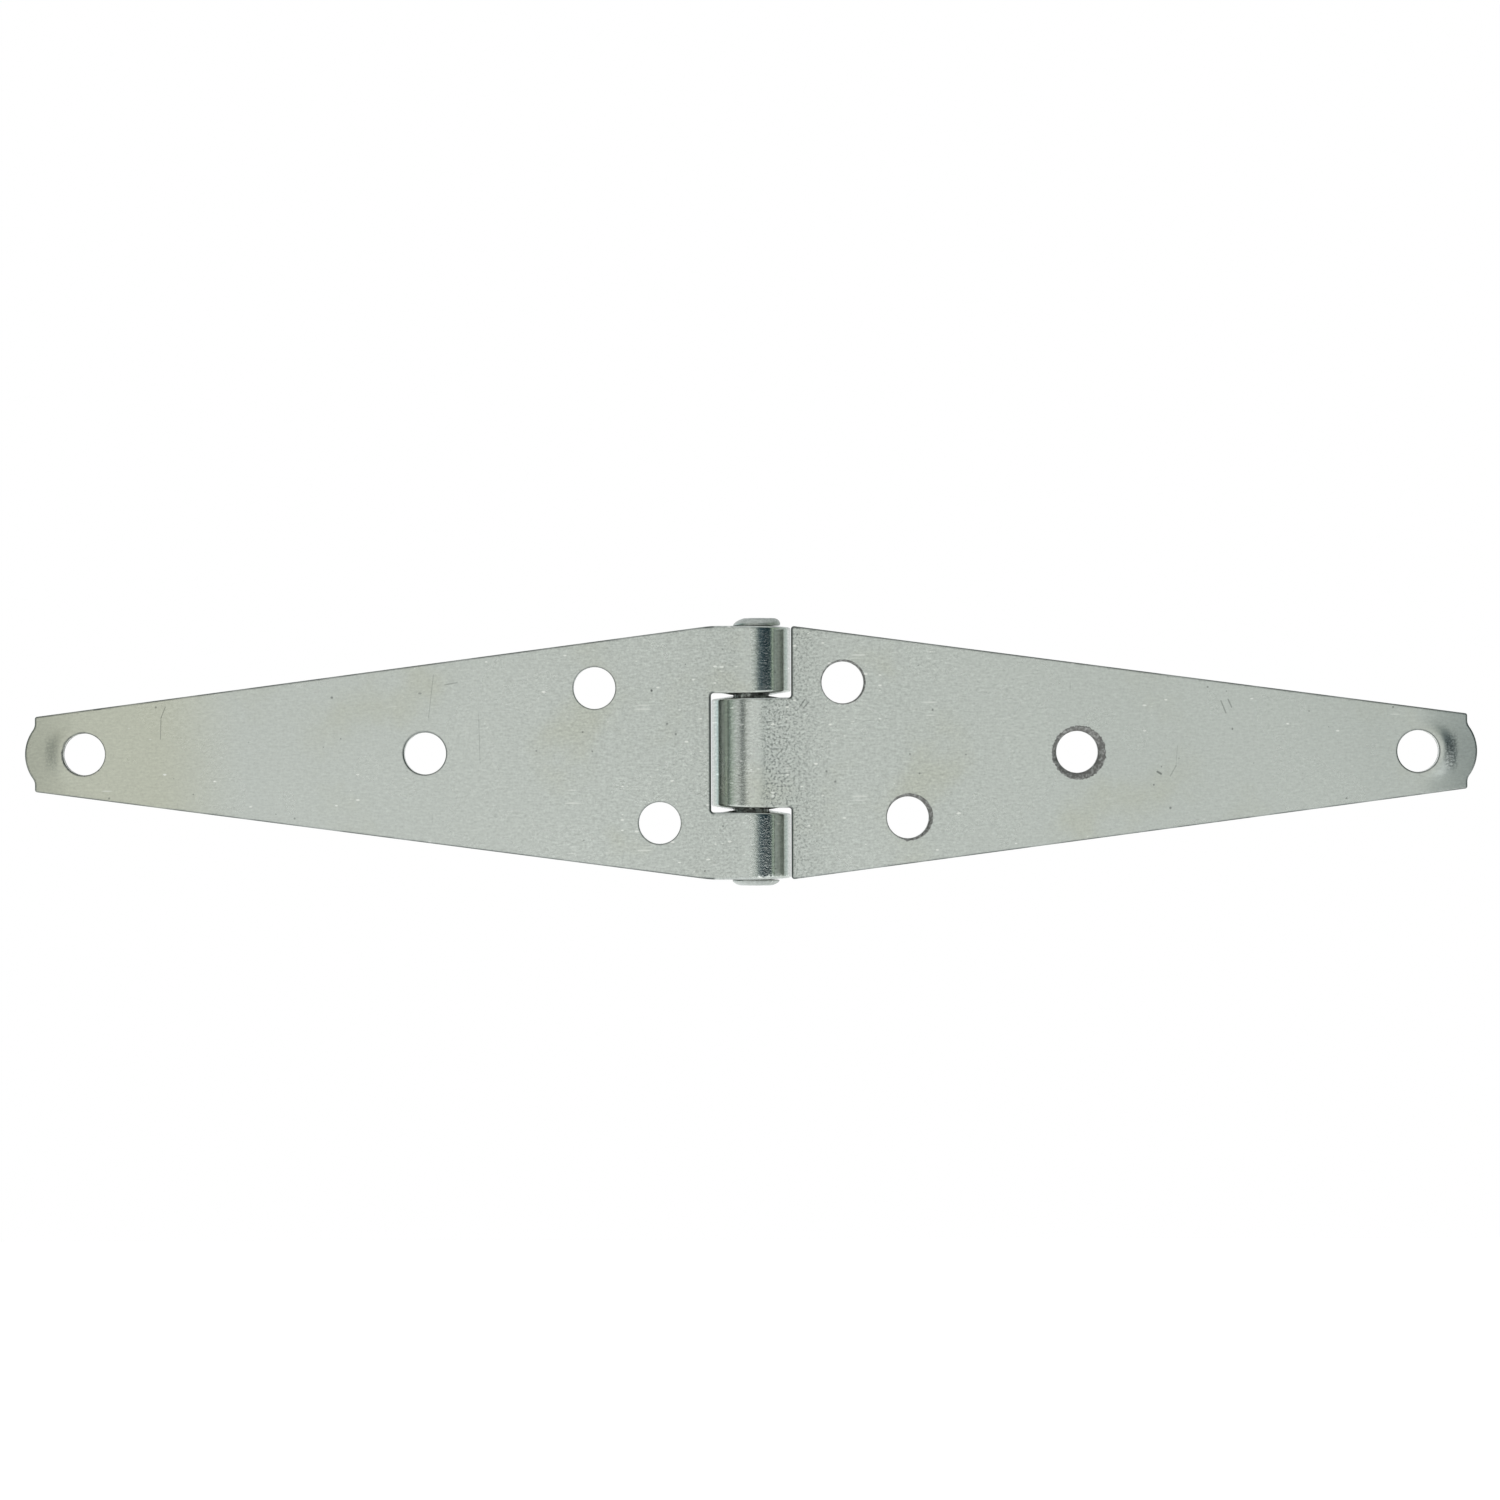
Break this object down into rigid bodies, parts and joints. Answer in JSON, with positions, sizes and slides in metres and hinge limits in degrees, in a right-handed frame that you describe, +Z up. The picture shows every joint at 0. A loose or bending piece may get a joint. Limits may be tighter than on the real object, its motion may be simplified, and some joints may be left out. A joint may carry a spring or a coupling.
{
  "type": "strap hinge",
  "caption": "Strap hinge of zinc-plated steel: tapered leaves rolled round a riveted pin, with screw holes along each.",
  "frame": {"origin": "middle of the pin, on its axis", "axes": "+Z up the pin, +X out along the swinging leaf, -Y the way the flat faces of both leaves look, towards the post and gate; the knuckles stand out to +Y"},
  "size_m": [0.2032, 0.0112, 0.0378],
  "materials": {
    "leaf_zinc": "clear zinc plate over rolled steel, satin, faintly green-grey",
    "pin_zinc": "zinc plated wire with hammered heads"
  },
  "bodies": {
    "post_half": {"fixed_leaf": "leaf_zinc", "hinge_pin": "pin_zinc"},
    "gate_half": {"swinging_leaf": "leaf_zinc"}
  },
  "joints": [
    {"name": "leaf_swing", "type": "hinge", "parent": "post_half", "child": "gate_half", "pos_m": [0, 0, 0], "axis": [0, 0, 1], "range_deg": [-90, 180]}
  ]
}
